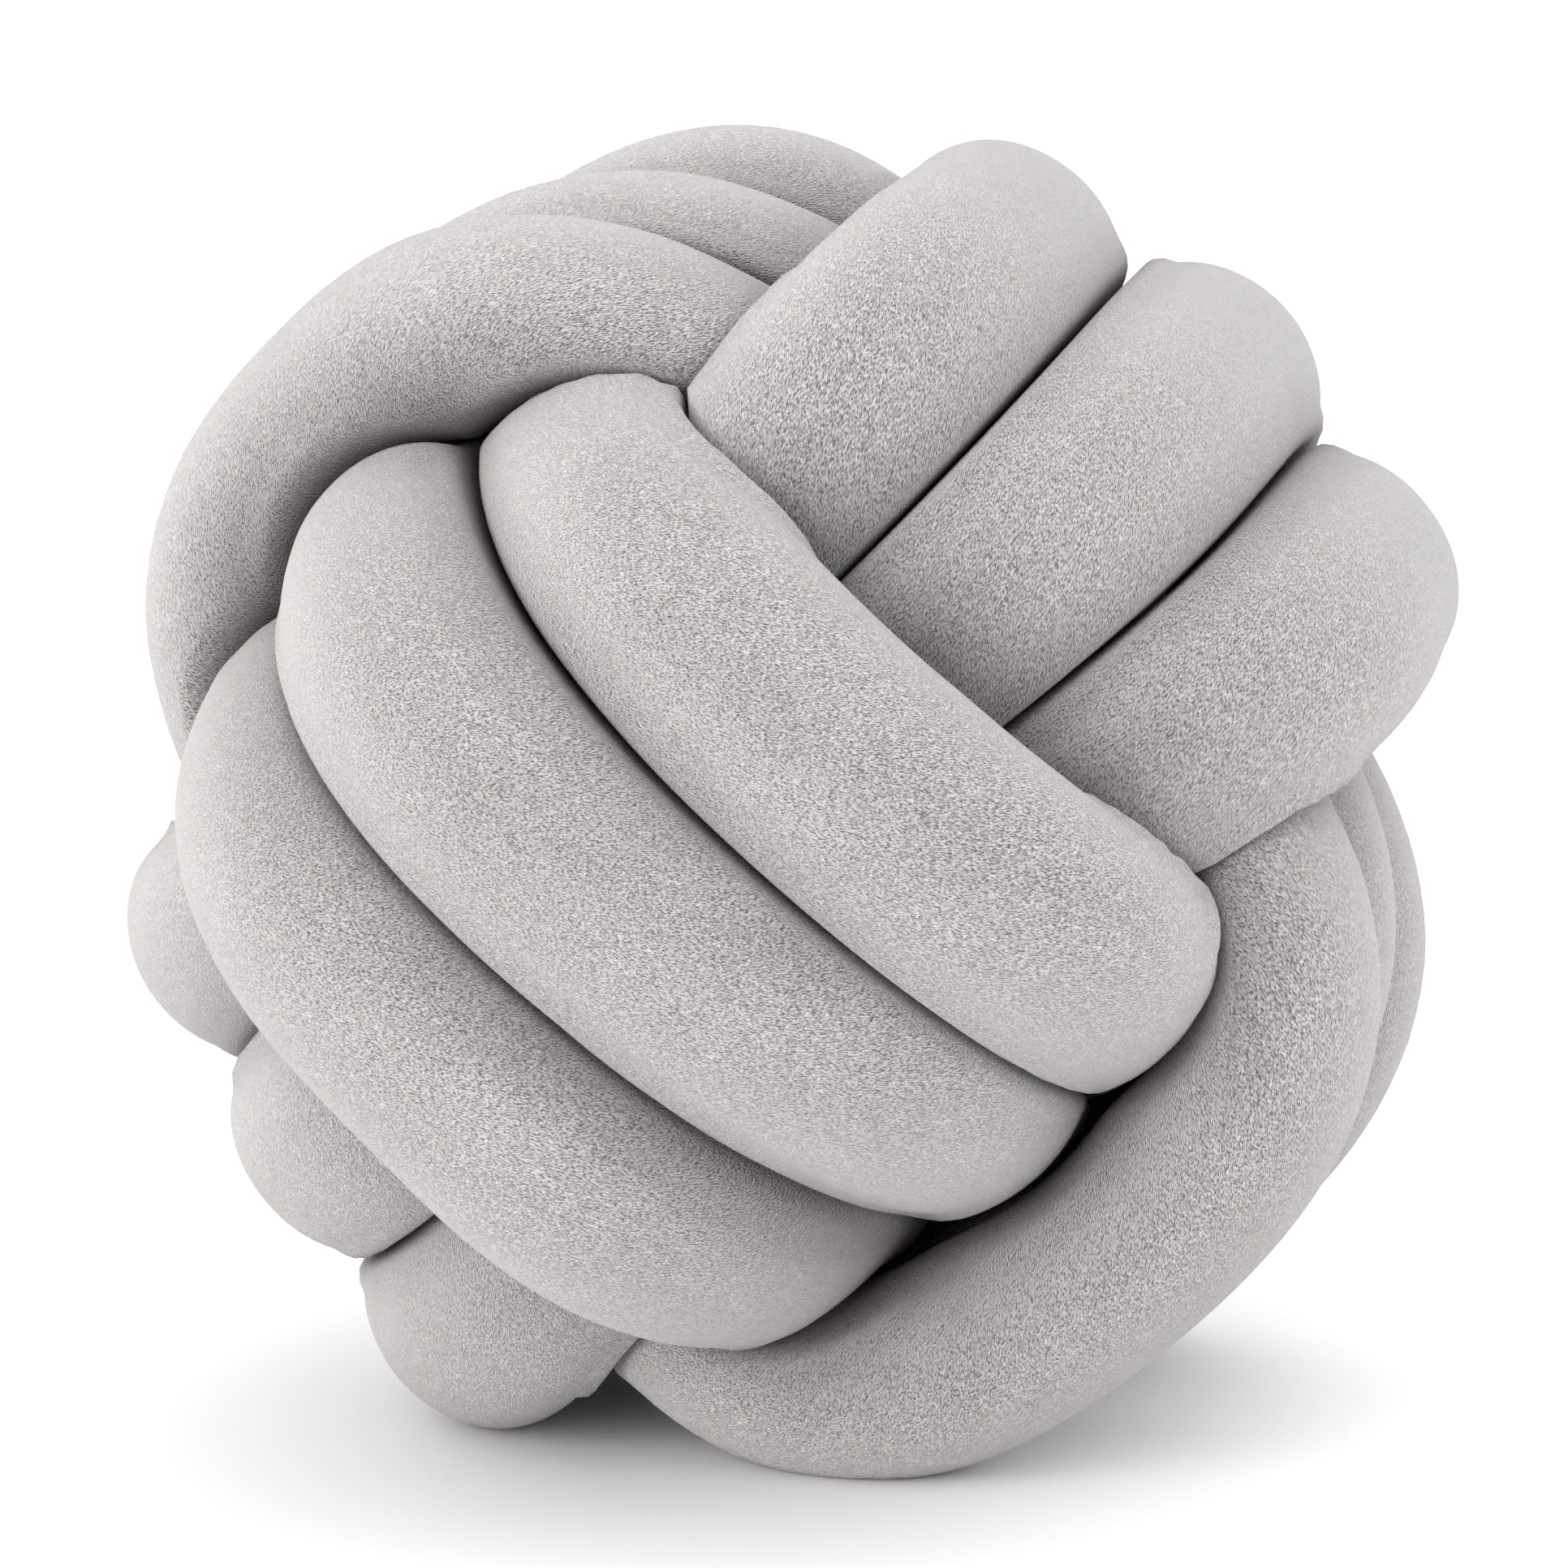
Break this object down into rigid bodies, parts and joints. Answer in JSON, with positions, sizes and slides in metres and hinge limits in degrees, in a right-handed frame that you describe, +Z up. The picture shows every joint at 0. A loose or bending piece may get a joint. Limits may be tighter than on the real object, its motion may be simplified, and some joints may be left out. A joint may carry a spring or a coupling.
{
  "type": "knot cushion",
  "caption": "Round decorative cushion tied from a single long stuffed plush tube, wound into a tight ball knot with turns crossing over and under each other.",
  "frame": {"origin": "centre of the bounding box, on the surface that the ball rests on", "axes": "+Z up; -Y towards the viewer of the picture, +X to that viewer's right"},
  "size_m": [0.2522, 0.2662, 0.2387],
  "materials": {
    "plush": "short-pile plush, light warm grey"
  },
  "bodies": {
    "root": {"knotted_tube": "plush"}
  },
  "joints": []
}
